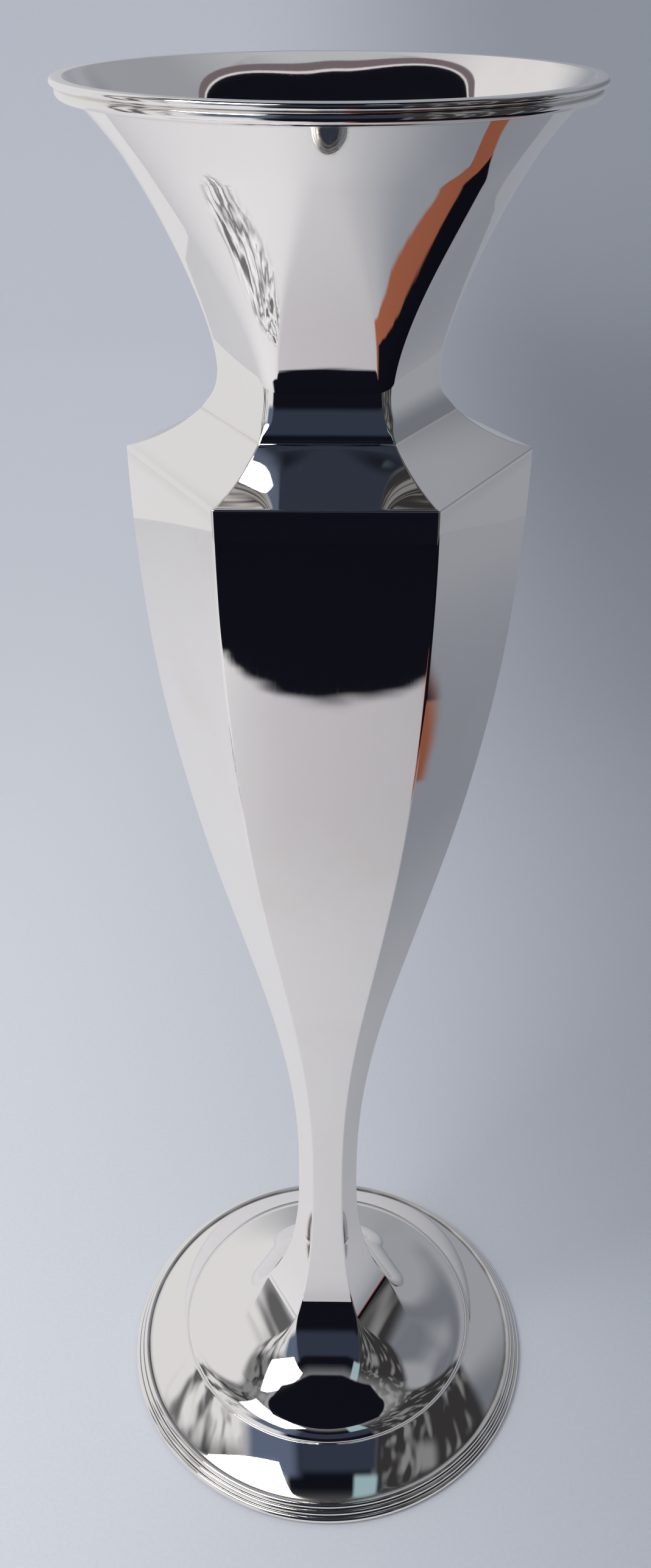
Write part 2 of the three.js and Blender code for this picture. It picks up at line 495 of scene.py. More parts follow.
class SurfaceEffects:
    """The effects that the silver finishes share."""

    def __init__(self) -> None:
        """Makes each effect once."""
        self.hairlines = self.make_hairlines()
        self.film = self.make_film()
        self.dirt = self.make_dirt()

    @staticmethod
    def make_hairlines() -> Effect:
        """Makes the fine and the broader lines that a polishing cloth leaves along the piece.

        Returns:
            The effect, which gives the height of the lines and the haze where they lie close.
        """
        effect = Effect("polishing_hairlines", {"Place": "NodeSocketVector"}, ["Height", "Haze"])
        sheet = effect.sheet
        place = effect.source["Place"]
        fine = sheet.turned(place, degrees=(4, 3, 0), scale=(1, 1, 0.03))
        broad = sheet.turned(place, degrees=(24, -31, 15), scale=(1, 1, 0.05))
        fine_share = 0.6
        fine_lines = sheet.product(sheet.noise(fine, scale=1500, detail=2), fine_share)
        broad_lines = sheet.product(sheet.noise(broad, scale=1100, detail=2), 1 - fine_share)
        lines = sheet.math("ADD", fine_lines, broad_lines)
        wiped = sheet.stretch(sheet.noise(place, scale=24, detail=2), low=0.35, high=0.7)
        haze = sheet.product(sheet.stretch(lines, low=0.5, high=0.68), wiped)
        effect.close({"Height": lines, "Haze": haze})
        return effect

    @staticmethod
    def make_film() -> Effect:
        """Makes the thin uneven film that silver gets in air.

        Returns:
            The effect, which says where the film lies.
        """
        inputs = {"Place": "NodeSocketVector", "Cover": "NodeSocketFloat"}
        effect = Effect("silver_film", inputs, ["Film"])
        sheet = effect.sheet
        place = effect.source["Place"]
        clouds = sheet.noise(place, scale=19, detail=4)
        speck_share = 0.14
        specks = sheet.product(sheet.noise(place, scale=260, detail=3), speck_share)
        clear_level = 0.62  # clouds up to it hold no film
        full_rise = 0.45  # from there to where the film is full
        rough = sheet.math("SUBTRACT", sheet.math("ADD", clouds, specks), clear_level)
        spread = sheet.math("ADD", rough, effect.source["Cover"])
        effect.close({"Film": sheet.stretch(spread, low=0, high=full_rise)})
        return effect

    @staticmethod
    def make_dirt() -> Effect:
        """Makes the dark tarnish that polishing leaves in seams and grooves.

        Returns:
            The effect, which says how much tarnish there is for the depth of a crevice.
        """
        inputs = {"Place": "NodeSocketVector", "Depth": "NodeSocketFloat"}
        effect = Effect("crevice_tarnish", inputs, ["Dirt"])
        sheet = effect.sheet
        patches = sheet.noise(effect.source["Place"], scale=60, detail=2)
        uneven = sheet.stretch(patches, low=0.3, high=0.62, first=0.6, last=1.0)
        effect.close({"Dirt": sheet.product(effect.source["Depth"], uneven)})
        return effect


@dataclass(frozen=True)
class SilverFinish:
    """One finish of the silver."""

    name: str
    roughness: float
    haze: float  # roughness that the hairlines add
    film_cover: float  # how far the film spreads, from 0
    film_roughness: float
    hairline_height: float
    metal: Paint = shade(247, 244, 240)
    film: Paint = shade(236, 229, 218)
    dirt: Paint = shade(62, 53, 48)
    dirt_roughness: float = 0.3

    def make(self, effects: SurfaceEffects) -> bpy.types.Material:
        """Makes the finish's material.

        Args:
            effects: The effects that the finishes share.

        Returns:
            The material.
        """
        material = bpy.data.materials.new(self.name)
        material.use_nodes = True
        sheet = NodeSheet(material.node_tree)
        place = sheet.place()
        depth = sheet.add("ShaderNodeAttribute", {}, attribute_name=CREVICE).outputs["Fac"]
        lines = effects.hairlines.use(sheet, {"Place": place})
        film = effects.film.use(sheet, {"Place": place, "Cover": self.film_cover})["Film"]
        dirt = effects.dirt.use(sheet, {"Place": place, "Depth": depth})["Dirt"]
        colour = sheet.mix(dirt, sheet.mix(film, self.metal, self.film), self.dirt)
        haze = sheet.math("MULTIPLY_ADD", lines["Haze"], self.haze, self.roughness)
        clouded = sheet.math("MULTIPLY_ADD", film, self.film_roughness, haze)
        roughness = sheet.math("MULTIPLY_ADD", dirt, self.dirt_roughness, clouded)
        bump = sheet.add("ShaderNodeBump", {"Strength": 1.0, "Distance": self.hairline_height,
                                            "Height": lines["Height"]})
        shader = sheet.add("ShaderNodeBsdfPrincipled", {
            "Base Color": colour,
            "Metallic": 1.0,
            "Roughness": roughness,
            "Normal": bump.outputs[0],
        })
        sheet.add("ShaderNodeOutputMaterial", {"Surface": shader.outputs[0]})
        return material


class Finishes:
    """The vase's finishes, each made once."""

    def __init__(self) -> None:
        """Makes the materials."""
        effects = SurfaceEffects()
        hand_polished = SilverFinish(
            "hand_polished_silver", roughness=0.02, haze=0.03, film_cover=0.0, film_roughness=0.03,
            hairline_height=0.0006 * MM)
        buffed_wire = SilverFinish(
            "buffed_wire_silver", roughness=0.05, haze=0.05, film_cover=0.06, film_roughness=0.06,
            hairline_height=0.0008 * MM)
        polished_throat = SilverFinish(
            "polished_throat_silver", roughness=0.03, haze=0.04, film_cover=0.1, film_roughness=0.07,
            hairline_height=0.0008 * MM)
        raised_inside = SilverFinish(
            "unpolished_inner_silver", roughness=0.2, haze=0.12, film_cover=0.22, film_roughness=0.14,
            hairline_height=0.003 * MM, metal=shade(226, 222, 216), film=shade(186, 172, 150))
        plain_plug = SilverFinish(
            "plain_plug_silver", roughness=0.32, haze=0.1, film_cover=0.3, film_roughness=0.16,
            hairline_height=0.004 * MM, metal=shade(214, 210, 204), film=shade(170, 157, 138))
        self.outer = hand_polished.make(effects)
        self.wire = buffed_wire.make(effects)
        self.throat = polished_throat.make(effects)
        self.inner = raised_inside.make(effects)
        self.plug = plain_plug.make(effects)


@dataclass(frozen=True)
class Crevice:
    """A groove or seam that holds tarnish, as a point of the outline."""

    place: Vector
    width: float
    depth: float = 1.0

    def at(self, here: Vector) -> float:
        """How deep in the crevice a point of the outline lies, from 0 to 1."""
        return self.depth * (1 - smoothstep((here - self.place).length, 0, self.width))


class SilverWork:
    """A closed piece of silver, spun from an outline."""

    HARD_TURN = math.radians(35)  # an edge that turns more is shaded sharp
    SAME_PLACE = 0.0001 * MM
    FILED_STEPS = 4  # steps of a filed corner
    MITRE_START = 0.86  # where the seam begins, from 0 in a panel's middle to 1 at its side
    BACK = "back"  # layer that marks the vertices of a sheet's back

    def __init__(self, outline: Outline, face_points: int, filed: dict[int, float],
                 sweep: float = math.tau, steps: int = 192) -> None:
        """Draws the outline in front of the axis, files it and spins it.

        Args:
            outline: Points of the closed outline.
            face_points: How many of them, from the first, lie on the outer face.
            filed: Radius of each filed corner, by the place of its point in the outline.
            sweep: Angle that the outline is spun through, in the middle of which -Y lies.
            steps: Steps of the spin.
        """
        self.mesh = bmesh.new()
        self.crevice = self.mesh.verts.layers.float.new(CREVICE)
        self.back = self.mesh.verts.layers.float.new(self.BACK)
        verts = [self.mesh.verts.new((0, -point.x, point.y)) for point in outline]
        for vert in verts[face_points:]:
            vert[self.back] = 1.0
        for pair in zip(verts, verts[1:] + verts[:1]):
            self.mesh.edges.new(pair)
        for index, radius in filed.items():
            bmesh.ops.bevel(self.mesh, geom=[verts[index]], affect="VERTICES", offset=radius,
                            segments=self.FILED_STEPS, profile=0.5, material=-1, clamp_overlap=True)
        self.turn(-sweep / 2)
        whole = math.isclose(sweep, math.tau)
        wire = self.mesh.verts[:] + self.mesh.edges[:]
        bmesh.ops.spin(self.mesh, geom=wire, cent=(0, 0, 0), axis=(0, 0, 1), angle=sweep, steps=steps,
                       use_merge=whole)
        if not whole:
            open_edges = [edge for edge in self.mesh.edges if edge.is_boundary]
            bmesh.ops.holes_fill(self.mesh, edges=open_edges, sides=0)

    def turn(self, angle: float) -> None:
        """Turns the piece about the upright axis."""
        matrix = Matrix.Rotation(angle, 3, "Z")
        bmesh.ops.rotate(self.mesh, cent=(0, 0, 0), matrix=matrix, verts=self.mesh.verts)

    def mark_crevices(self, crevices: list[Crevice]) -> None:
        """Notes at each vertex, before the wall is pressed, how deep in a crevice it lies.

        Args:
            crevices: The crevices along the outline.
        """
        for vert in self.mesh.verts:
            here = spot(vert.co.xy.length, vert.co.z)
            vert[self.crevice] = max(crevice.at(here) for crevice in crevices)

    def mark_mitres(self, depth: float) -> None:
        """Notes the seams at both sides of a panel, before it is pressed.

        Args:
            depth: How much tarnish they hold, from 0 to 1.
        """
        for vert in self.mesh.verts:
            across = abs(math.atan2(vert.co.x, -vert.co.y)) / HALF_SIDE
            seam = depth * smoothstep(across, self.MITRE_START, 1.0)
            vert[self.crevice] = max(vert[self.crevice], seam)

    def press(self, softness_at: Softness) -> None:
        """Presses the spun wall into six flats.

        Args:
            softness_at: Gives the softness of the corners for an apothem and a height.
        """
        for vert in self.mesh.verts:
            apothem = vert.co.xy.length
            angle = math.atan2(vert.co.x, -vert.co.y)
            side = round(angle / SIDE_ANGLE)
            across = (angle - side * SIDE_ANGLE) / HALF_SIDE
            section = apothem * pressed_section(across, softness_at(apothem, vert.co.z))
            place = Vector((section.x, -section.y, vert.co.z))
            vert.co = Matrix.Rotation(side * SIDE_ANGLE, 3, "Z") @ place

    def planish(self, hand_work: HandWork) -> None:
        """Leaves the hand-raised unevenness in the wall.

        Args:
            hand_work: The unevenness.
        """
        for vert in self.mesh.verts:
            outward = Vector((vert.co.x, vert.co.y, 0)).normalized()
            vert.co += hand_work.shift(vert.co) * outward

    def make_piece(self, name: str) -> Piece:
        """Closes the mesh and makes it an object at the origin.

        Args:
            name: The piece's name.

        Returns:
            The new object, with the back of a sheet in the second place for a finish.
        """
        bmesh.ops.remove_doubles(self.mesh, verts=self.mesh.verts, dist=self.SAME_PLACE)
        bmesh.ops.recalc_face_normals(self.mesh, faces=self.mesh.faces)
        for face in self.mesh.faces:
            face.smooth = True
            face.material_index = int(all(vert[self.back] > 0.5 for vert in face.verts))
        for edge in self.mesh.edges:
            edge.smooth = edge.calc_face_angle(0) < self.HARD_TURN
        self.mesh.verts.layers.float.remove(self.back)
        data = bpy.data.meshes.new(name)
        self.mesh.to_mesh(data)
        self.mesh.free()
        piece = bpy.data.objects.new(name, data)
        bpy.context.scene.collection.objects.link(piece)
        return piece


def place_piece(piece: Piece, slot: str, *nodes: str) -> None:
    """Lets a piece stand for its solids and ride with the vase.

    Args:
        piece: The finished piece.
        slot: Name of a material slot, which is not used.
        nodes: The solids that the piece stands for.
    """
    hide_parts(*nodes)
    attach(piece, "root")
    log.info("%s: %d faces", piece.name, len(piece.data.polygons))


def dress_piece(piece: Piece, *finishes: bpy.types.Material) -> None:
    """Gives a piece its finish, and the back of its sheet a second one."""
    for finish in finishes:
        piece.data.materials.append(finish)


@dataclass
class Foot:
    """The domed foot and the reeded wire that it stands on."""

    marks: Landmarks
    hand_work: HandWork
    cove_width: float = 15.1 * MM
    cove_height: float = 10 * MM
    cove_outer_slope: float = 26  # degrees below level, as the other slopes
    cove_inner_slope: float = 46
    cove_outer_reach: float = 5 * MM
    cove_inner_reach: float = 5 * MM
    ledge: float = 0.7 * MM
    dome_width: float = 11.1 * MM
    dome_height: float = 5.8 * MM
    dome_edge_slope: float = 70
    dome_crown_slope: float = 19.5
    dome_edge_reach: float = 3 * MM
    dome_crown_reach: float = 5 * MM
    flare_lower_reach: float = 20 * MM
    flare_upper_reach: float = 33 * MM
    crisp_height: float = 27 * MM  # corners stay sharp this far below the stem
    cove_steps: int = 24
    dome_steps: int = 28
    flare_steps: int = 40
    ledge_rounding: float = 0.15 * MM
    reeds: int = 3
    reed_radius: float = 1.25 * MM
    reed_step_in: float = 1.55 * MM
    reed_step_up: float = 1.75 * MM
    reed_base: float = 1.9 * MM  # height of the lowest reed's middle
    reed_start: float = -60  # degrees, where the lowest reed leaves the underside
    wire_back: float = 1.2 * MM  # metal behind the innermost reed's middle
    groove_width: float = 0.7 * MM
    seam_width: float = 1.1 * MM
    flange_tarnish: float = 0.5  # how much tarnish the seams hold, from 0 to 1
    ledge_tarnish: float = 0.15
    shell: Piece = field(init=False)
    wire: Piece = field(init=False)

    def corners(self) -> dict[str, Vector]:
        """Finds the points between which the foot's face curves.

        Returns:
            The points by name, from the outer edge up to the stem.
        """
        marks = self.marks
        lift = SHEET / math.cos(math.radians(self.cove_outer_slope))
        flange = spot(marks.flange_apothem, marks.flange_underside + lift)
        ledge = flange + Vector((-self.cove_width, self.cove_height))
        edge = ledge - Vector((self.ledge, 0))
        crown = edge + Vector((-self.dome_width, self.dome_height))
        joint = spot(JOINT_APOTHEM, marks.joint_height)
        return {"flange": flange, "ledge": ledge, "edge": edge, "crown": crown, "joint": joint}

    def face(self) -> Outline:
        """Draws the line of the foot's face.

        Returns:
            The points, from the outer edge up to the stem.
        """
        flange, ledge, edge, crown, joint = self.corners().values()
        cove = bezier(flange, reach(flange, self.cove_outer_reach, 180 - self.cove_outer_slope),
                      reach(ledge, self.cove_inner_reach, -self.cove_inner_slope), ledge, self.cove_steps)
        dome = bezier(edge, reach(edge, self.dome_edge_reach, 180 - self.dome_edge_slope),
                      reach(crown, self.dome_crown_reach, -self.dome_crown_slope), crown, self.dome_steps)
        flare = bezier(crown, reach(crown, self.flare_lower_reach, 180 - self.dome_crown_slope),
                       reach(joint, self.flare_upper_reach, JOINT_LEAN - 90), joint, self.flare_steps)
        return cove + dome + flare[1:]

    def build_shell(self) -> None:
        """Makes the foot's shell, round below and six-sided where it meets the stem."""
        face = self.face()
        corners = self.corners()
        filed = {self.cove_steps: self.ledge_rounding, self.cove_steps + 1: self.ledge_rounding}
        work = SilverWork(sheet_outline(face, Cut.UPRIGHT, Cut.LEVEL), len(face), filed)
        work.mark_crevices([
            Crevice(corners["flange"], self.seam_width, self.flange_tarnish),
            Crevice(corners["edge"], self.seam_width, self.ledge_tarnish),
        ])
        work.press(melting_corners(corners["edge"].y, corners["joint"].y - self.crisp_height))
        work.planish(self.hand_work)
        self.shell = work.make_piece("foot_shell")
        place_piece(self.shell, "polished_silver", "foot")

    def build_wire(self) -> None:
        """Makes the reeded wire round the foot."""
        flange = self.corners()["flange"]
        outer = flange.x + self.wire_back + (self.reeds - 1) * self.reed_step_in
        step = Vector((-self.reed_step_in, self.reed_step_up))
        climb = math.degrees(math.atan2(step.y, step.x))
        overlap = math.degrees(math.acos(min(step.length / 2 / self.reed_radius, 1)))
        outline = [spot(flange.x, 0), spot(outer, 0)]
        crevices = [Crevice(flange, self.groove_width)]
        for reed in range(self.reeds):
            middle = spot(outer, self.reed_base) + reed * step
            first = self.reed_start if reed == 0 else climb - 180 + overlap
            last = 90 if reed == self.reeds - 1 else climb - overlap
            outline += arc(middle, self.reed_radius, first, last)
            if reed > 0:
                crevices.append(Crevice(reach(middle, self.reed_radius, first), self.groove_width))
        outline.append(flange)
        work = SilverWork(outline, len(outline), {}, steps=WIRE_STEPS)
        work.mark_crevices(crevices)
        self.wire = work.make_piece("foot_reeded_wire")
        place_piece(self.wire, "polished_silver", "foot_rim_wire")

    def dress(self, finishes: Finishes) -> None:
        """Polishes the shell outside and leaves its underside dull."""
        dress_piece(self.shell, finishes.outer, finishes.inner)
        dress_piece(self.wire, finishes.wire)


@dataclass
class Body:
    """The six tall sides, the six sloping shoulder panels and the plug in the stem."""

    marks: Landmarks
    hand_work: HandWork
    stem_height: float = 34 * MM  # from the joint up to the slimmest place
    stem_reach: float = 91 * MM
    body_reach: float = 128 * MM
    shoulder_rise: float = 10 * MM
    shoulder_edge_slope: float = 13  # degrees below level
    shoulder_crease_slope: float = 46
    shoulder_edge_reach: float = 7.2 * MM
    shoulder_crease_reach: float = 6.2 * MM
    crease_apothem: float = 28.3 * MM
    shoulder_rounding: float = 0.45 * MM
    crease_rounding: float = 0.2 * MM
    stem_steps: int = 24
    side_steps: int = 110
    shoulder_steps: int = 24
    columns: int = 36
    seam_width: float = 0.8 * MM
    crease_depth: float = 0.1  # how much tarnish the seams hold, from 0 to 1
    mitre_depth: float = 0.12
    sides: list[Piece] = field(init=False, default_factory=list)
    shoulder: list[Piece] = field(init=False, default_factory=list)

    def shoulder_face(self) -> Outline:
        """Draws the line of a shoulder panel's face.

        Returns:
            The points, from the panel's edge up to the crease.
        """
        crease = spot(self.crease_apothem, self.marks.crease_height)
        edge = spot(self.marks.shoulder_apothem, self.marks.crease_height - self.shoulder_rise)
        return bezier(edge, reach(edge, self.shoulder_edge_reach, 180 - self.shoulder_edge_slope),
                      reach(crease, self.shoulder_crease_reach, -self.shoulder_crease_slope), crease,
                      self.shoulder_steps)

    def shoulder_outline(self) -> Outline:
        """The closed outline of a shoulder panel."""
        return sheet_outline(self.shoulder_face(), Cut.UPRIGHT, Cut.LEVEL)

    def side_face(self) -> Outline:
        """Draws the line of a side's face.

        Returns:
            The points, from the foot up to the shoulder panel's underside.
        """
        joint = spot(JOINT_APOTHEM, self.marks.joint_height)
        slimmest = spot(self.marks.stem_apothem, joint.y + self.stem_height)
        top = spot(self.marks.shoulder_apothem, self.shoulder_outline()[-1].y)
        stem = bezier(joint, reach(joint, self.stem_height / 3, 90 + JOINT_LEAN),
                      reach(slimmest, self.stem_height / 3, -90), slimmest, self.stem_steps)
        side = bezier(slimmest, reach(slimmest, self.stem_reach, 90), reach(top, self.body_reach, -90), top,
                      self.side_steps)
        return stem + side[1:]

    def build_panel(self, face: Outline, cuts: tuple[Cut, Cut], filed: dict[int, float],
                    crevice: Crevice, side: int, name: str) -> Piece:
        """Makes one flat panel of the body or the shoulder.

        Args:
            face: The line of the panel's face.
            cuts: How the panel ends below and above.
            filed: Radius of each filed corner of the outline.
            crevice: The seam at one end of the panel.
            side: Which side it is, counted round from the front.
            name: The piece's name.

        Returns:
            The new piece.
        """
        work = SilverWork(sheet_outline(face, *cuts), len(face), filed, SIDE_ANGLE, self.columns)
        work.mark_crevices([crevice])
        work.mark_mitres(self.mitre_depth)
        work.press(crisp_corners)
        work.turn(side * SIDE_ANGLE)
        work.planish(self.hand_work)
        return work.make_piece(name)

    def build_sides(self) -> None:
        """Makes the six tall sides."""
        face = self.side_face()
        seam = Crevice(face[-1], self.seam_width, self.crease_depth)
        for side in range(SIDES):
            cuts = (Cut.LEVEL, Cut.LEVEL)
            piece = self.build_panel(face, cuts, {}, seam, side, f"body_side_{side + 1}")
            place_piece(piece, "polished_silver", f"body_panel_{side + 1}")
            self.sides.append(piece)

    def build_shoulder(self) -> None:
        """Makes the six sloping shoulder panels."""
        face = self.shoulder_face()
        filed = {0: self.shoulder_rounding, self.shoulder_steps: self.crease_rounding}
        seam = Crevice(face[-1], self.seam_width, self.crease_depth)
        for side in range(SIDES):
            cuts = (Cut.UPRIGHT, Cut.LEVEL)
            piece = self.build_panel(face, cuts, filed, seam, side, f"shoulder_side_{side + 1}")
            place_piece(piece, "polished_silver", f"shoulder_panel_{side + 1}")
            self.shoulder.append(piece)

    def dress(self, finishes: Finishes) -> None:
        """Polishes the panels outside, leaves them dull inside and dresses the plug in the stem.

        Args:
            finishes: The vase's finishes.
        """
        for piece in self.sides + self.shoulder:
            dress_piece(piece, finishes.outer, finishes.inner)
        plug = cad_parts["stem_plug"]
        plug.data.materials.clear()
        dress_piece(plug, finishes.plug)
        log.info("%s: keeps its solid", plug.name)


@dataclass
class Neck:
    """The trumpet neck and the reeded wire round its lip."""

    marks: Landmarks
    hand_work: HandWork
    waist_apothem: float = 24.8 * MM
    waist_rise: float = 9.5 * MM
    crease_overhang: float = 3.5 * MM  # how far the crease stands outside the waist
    crease_slope: float = 51  # degrees below level
    lower_reach: float = 15.5 * MM
    upper_reach: float = 23 * MM
    lip_lean: float = 45  # degrees from upright, inside
    waist_reach: float = 9.8 * MM
    flare_reach: float = 23.2 * MM
    bell_rise: float = 47.5 * MM  # from the waist up to where the flare straightens
    bell_apothem: float = 45.47 * MM
    bell_lean: float = 33.3
    bell_reach: float = 4.2 * MM
    rim_lean: float = 41.4  # outside, where the metal thickens towards the rim
    rim_reach: float = 18.1 * MM
    crisp_height: float = 5 * MM  # corners are eased this far above the crease
    waist_softness: float = 0.16  # of the eased corners
    round_band: float = 3 * MM  # the neck is round from this far below the rim wire
    crease_rounding: float = 0.2 * MM
    lip_rounding: float = 0.4 * MM
    hollow_steps: int = 16
    trumpet_steps: int = 64
    flare_steps: int = 44
    bell_steps: int = 28
    upper_reed_radius: float = 0.8 * MM
    lower_reed_radius: float = 1.4 * MM
    reed_setback: float = 1.0 * MM  # how far the lower reed lies inside the upper one
    reed_drop: float = 2.1 * MM
    reed_turn: float = 60  # degrees that each reed turns past level into the groove
    groove_width: float = 0.7 * MM
    seam_width: float = 0.8 * MM
    crease_depth: float = 0.1  # how much tarnish the crease holds, from 0 to 1
    shell: Piece = field(init=False)
    wire: Piece = field(init=False)

    def corners(self) -> tuple[Vector, Vector, Vector]:
        """Finds the points between which the neck's face curves.

        Returns:
            The crease, the waist and the lip.
        """
        crease = spot(self.waist_apothem + self.crease_overhang, self.marks.crease_height)
        waist = spot(self.waist_apothem, crease.y + self.waist_rise)
        return crease, waist, spot(self.marks.lip_apothem, self.marks.lip_height)

    def hollow(self) -> Outline:
        """The line from the crease up to the waist."""
        crease, waist, _ = self.corners()
        return bezier(crease, reach(crease, self.waist_rise / 3, 180 - self.crease_slope),
                      reach(waist, self.waist_rise / 3, -90), waist, self.hollow_steps)

    def lining(self) -> Outline:
        """Draws the line that the inside follows.

        Returns:
            The points, from the crease up to the lip, in one curve from the waist on.
        """
        _, waist, lip = self.corners()
        trumpet = bezier(waist, reach(waist, self.lower_reach, 90),
                         reach(lip, self.upper_reach, -90 - self.lip_lean), lip, self.trumpet_steps)
        return self.hollow() + trumpet[1:]

    def face(self) -> Outline:
        """Draws the line of the neck's face.

        Returns:
            The points, from the crease up to the lip, below which the line straightens.
        """
        _, waist, lip = self.corners()
        bell = spot(self.bell_apothem, waist.y + self.bell_rise)
        flare = bezier(waist, reach(waist, self.waist_reach, 90),
                       reach(bell, self.flare_reach, -90 - self.bell_lean), bell, self.flare_steps)
        mouth = bezier(bell, reach(bell, self.bell_reach, 90 - self.bell_lean),
                       reach(lip, self.rim_reach, -90 - self.rim_lean), lip, self.bell_steps)
        return self.hollow() + flare[1:] + mouth[1:]

    def softness(self, apothem: float, height: float) -> float:
        """Softness of the corners, crisp at the crease, eased at the waist and round at the lip.

        Args:
            apothem: Distance of the flat from the axis.
            height: Height of the section.

        Returns:
            The softness.
        """
        eased_at = self.marks.crease_height + self.crisp_height
        eased = self.waist_softness * smoothstep(height, self.marks.crease_height, eased_at)
        melted = smoothstep(height, eased_at, self.wire_underside() - self.round_band)
        return max(eased + (1 - eased) * melted, crisp_corners(apothem, height))

    def reed_middles(self) -> tuple[Vector, Vector]:
        """Finds the middles of the reeds.

        Returns:
            The middles of the upper and the lower reed.
        """
        radius = self.upper_reed_radius
        upper = spot(self.marks.lip_apothem + radius, self.marks.lip_height - radius)
        inset = self.reed_setback + self.lower_reed_radius - radius
        return upper, upper - Vector((inset, self.reed_drop))

    def wire_underside(self) -> float:
        """Height of the rim wire's underside."""
        return self.reed_middles()[1].y - self.lower_reed_radius

    def build_shell(self) -> None:
        """Makes the trumpet's shell, six-sided at the crease and round at the lip."""
        face = self.face()
        underside = self.wire_underside()
        filed = {0: self.crease_rounding, len(face): self.lip_rounding}
        outline = sheet_outline(face, Cut.LEVEL, Cut.LEVEL, self.lining())
        work = SilverWork(outline, len(face), filed)
        work.mark_crevices([
            Crevice(face[0], self.seam_width, self.crease_depth),
            Crevice(spot(apothem_at(face, underside), underside), self.seam_width),
        ])
        work.press(self.softness)
        work.planish(self.hand_work)
        self.shell = work.make_piece("neck_trumpet")
        place_piece(self.shell, "polished_silver", "trumpet_neck")

    def build_wire(self) -> None:
        """Makes the reeded wire round the lip."""
        upper, lower = self.reed_middles()
        face = self.face()
        seat = [self.marks.lip_height, upper.y, lower.y, self.wire_underside()]
        outline = arc(lower, self.lower_reed_radius, -90, self.reed_turn)
        groove = (outline[-1] + reach(upper, self.upper_reed_radius, -self.reed_turn)) / 2
        outline += arc(upper, self.upper_reed_radius, -self.reed_turn, 90)
        outline += [spot(apothem_at(face, height), height) for height in seat]
        work = SilverWork(outline, len(outline), {}, steps=WIRE_STEPS)
        work.mark_crevices([Crevice(groove, self.groove_width), Crevice(outline[-1], self.groove_width)])
        self.wire = work.make_piece("mouth_reeded_wire")
        place_piece(self.wire, "polished_silver", "mouth_rim_wire")

    def dress(self, finishes: Finishes) -> None:
        """Polishes the trumpet inside and out."""
        dress_piece(self.shell, finishes.outer, finishes.throat)
        dress_piece(self.wire, finishes.wire)


@dataclass(frozen=True)
class PhotoCamera:
    """The camera at the photograph's place."""

    place: Place = (5.3 * MM, -340.3 * MM, 484.7 * MM)
    pitch: float = 57.42  # degrees up from straight down
    roll: float = 0.0
    yaw: float = 1.04
    lens: float = 30.85  # for a sensor 36 long on the picture's long side

    def make(self) -> None:
        """Makes the camera and gives it to the scene."""
        data = bpy.data.cameras.new("photo_camera")
        data.lens = self.lens
        data.clip_start = 1 * MM
        camera = bpy.data.objects.new("photo_camera", data)
        camera.location = self.place
        camera.rotation_euler = [math.radians(x) for x in (self.pitch, self.roll, self.yaw)]
        bpy.context.scene.collection.objects.link(camera)
        bpy.context.scene.camera = camera


@dataclass(frozen=True)
class SoftLamp:
    """A soft lamp that shines at the vase."""

    name: str
    place: Place
    aim: Place
    size: Span
    watts: float
    colour: Paint = shade(255, 254, 252)

    def make(self) -> None:
        """Makes the lamp."""
        data = bpy.data.lights.new(self.name, "AREA")
        data.shape = "RECTANGLE"
        data.size, data.size_y = self.size
        data.energy = self.watts
        data.color = self.colour[:3]
        lamp = bpy.data.objects.new(self.name, data)
        lamp.location = self.place
        lamp.rotation_euler = (Vector(self.aim) - Vector(self.place)).to_track_quat("-Z", "Y").to_euler()
        lamp.visible_camera = False
        bpy.context.scene.collection.objects.link(lamp)


class StagePart:
    """A part of the studio, which doesn't belong to the vase."""

    STEPS = 96  # steps round a spun part
    SAME_PLACE = 0.01 * MM
    FACED = Vector((0, 0, 0.3))  # a place in the vase, to which the faces turn

    def __init__(self, name: str) -> None:
        """Starts with an empty mesh and a material without nodes.

        Args:
            name: The part's name.
        """
        self.name = name
        self.mesh = bmesh.new()
        self.material = bpy.data.materials.new(name)
        self.material.use_nodes = True
        self.sheet = NodeSheet(self.material.node_tree)

    def spin(self, line: Outline) -> None:
        """Spins a line round the upright axis, with its faces turned to the vase.

        Args:
            line: The points of the line.
        """
        verts = [self.mesh.verts.new((0, -point.x, point.y)) for point in line]
        for pair in zip(verts, verts[1:]):
            self.mesh.edges.new(pair)
        wire = self.mesh.verts[:] + self.mesh.edges[:]
        bmesh.ops.spin(self.mesh, geom=wire, cent=(0, 0, 0), axis=(0, 0, 1), angle=math.tau,
                       steps=self.STEPS, use_merge=True)
        bmesh.ops.remove_doubles(self.mesh, verts=self.mesh.verts, dist=self.SAME_PLACE)
        self.mesh.normal_update()
        turned_away = []
        for face in self.mesh.faces:
            if face.normal.dot(self.FACED - face.calc_center_median()) < 0:
                turned_away.append(face)
        bmesh.ops.reverse_faces(self.mesh, faces=turned_away)

    def glow(self, colour: Socket) -> None:
        """Lets the part glow with a colour of its own, a painted reflection for the metal, with no light
        falling from it.

        Args:
            colour: The colour.
        """
        shader = self.sheet.add("ShaderNodeEmission", {"Color": colour})
        self.sheet.add("ShaderNodeOutputMaterial", {"Surface": shader.outputs[0]})
        self.material.cycles.emission_sampling = "NONE"

    def make(self, seen_by: SeenBy) -> None:
        """Puts the part into the scene.

        Args:
            seen_by: What it shows itself to.
        """
        data = bpy.data.meshes.new(self.name)
        self.mesh.to_mesh(data)
        self.mesh.free()
        data.materials.append(self.material)
        data.shade_smooth()
        part = bpy.data.objects.new(self.name, data)
        if seen_by is SeenBy.METAL:
            part.visible_camera = False
            part.visible_diffuse = False
            part.visible_transmission = False
            part.visible_shadow = False
        bpy.context.scene.collection.objects.link(part)


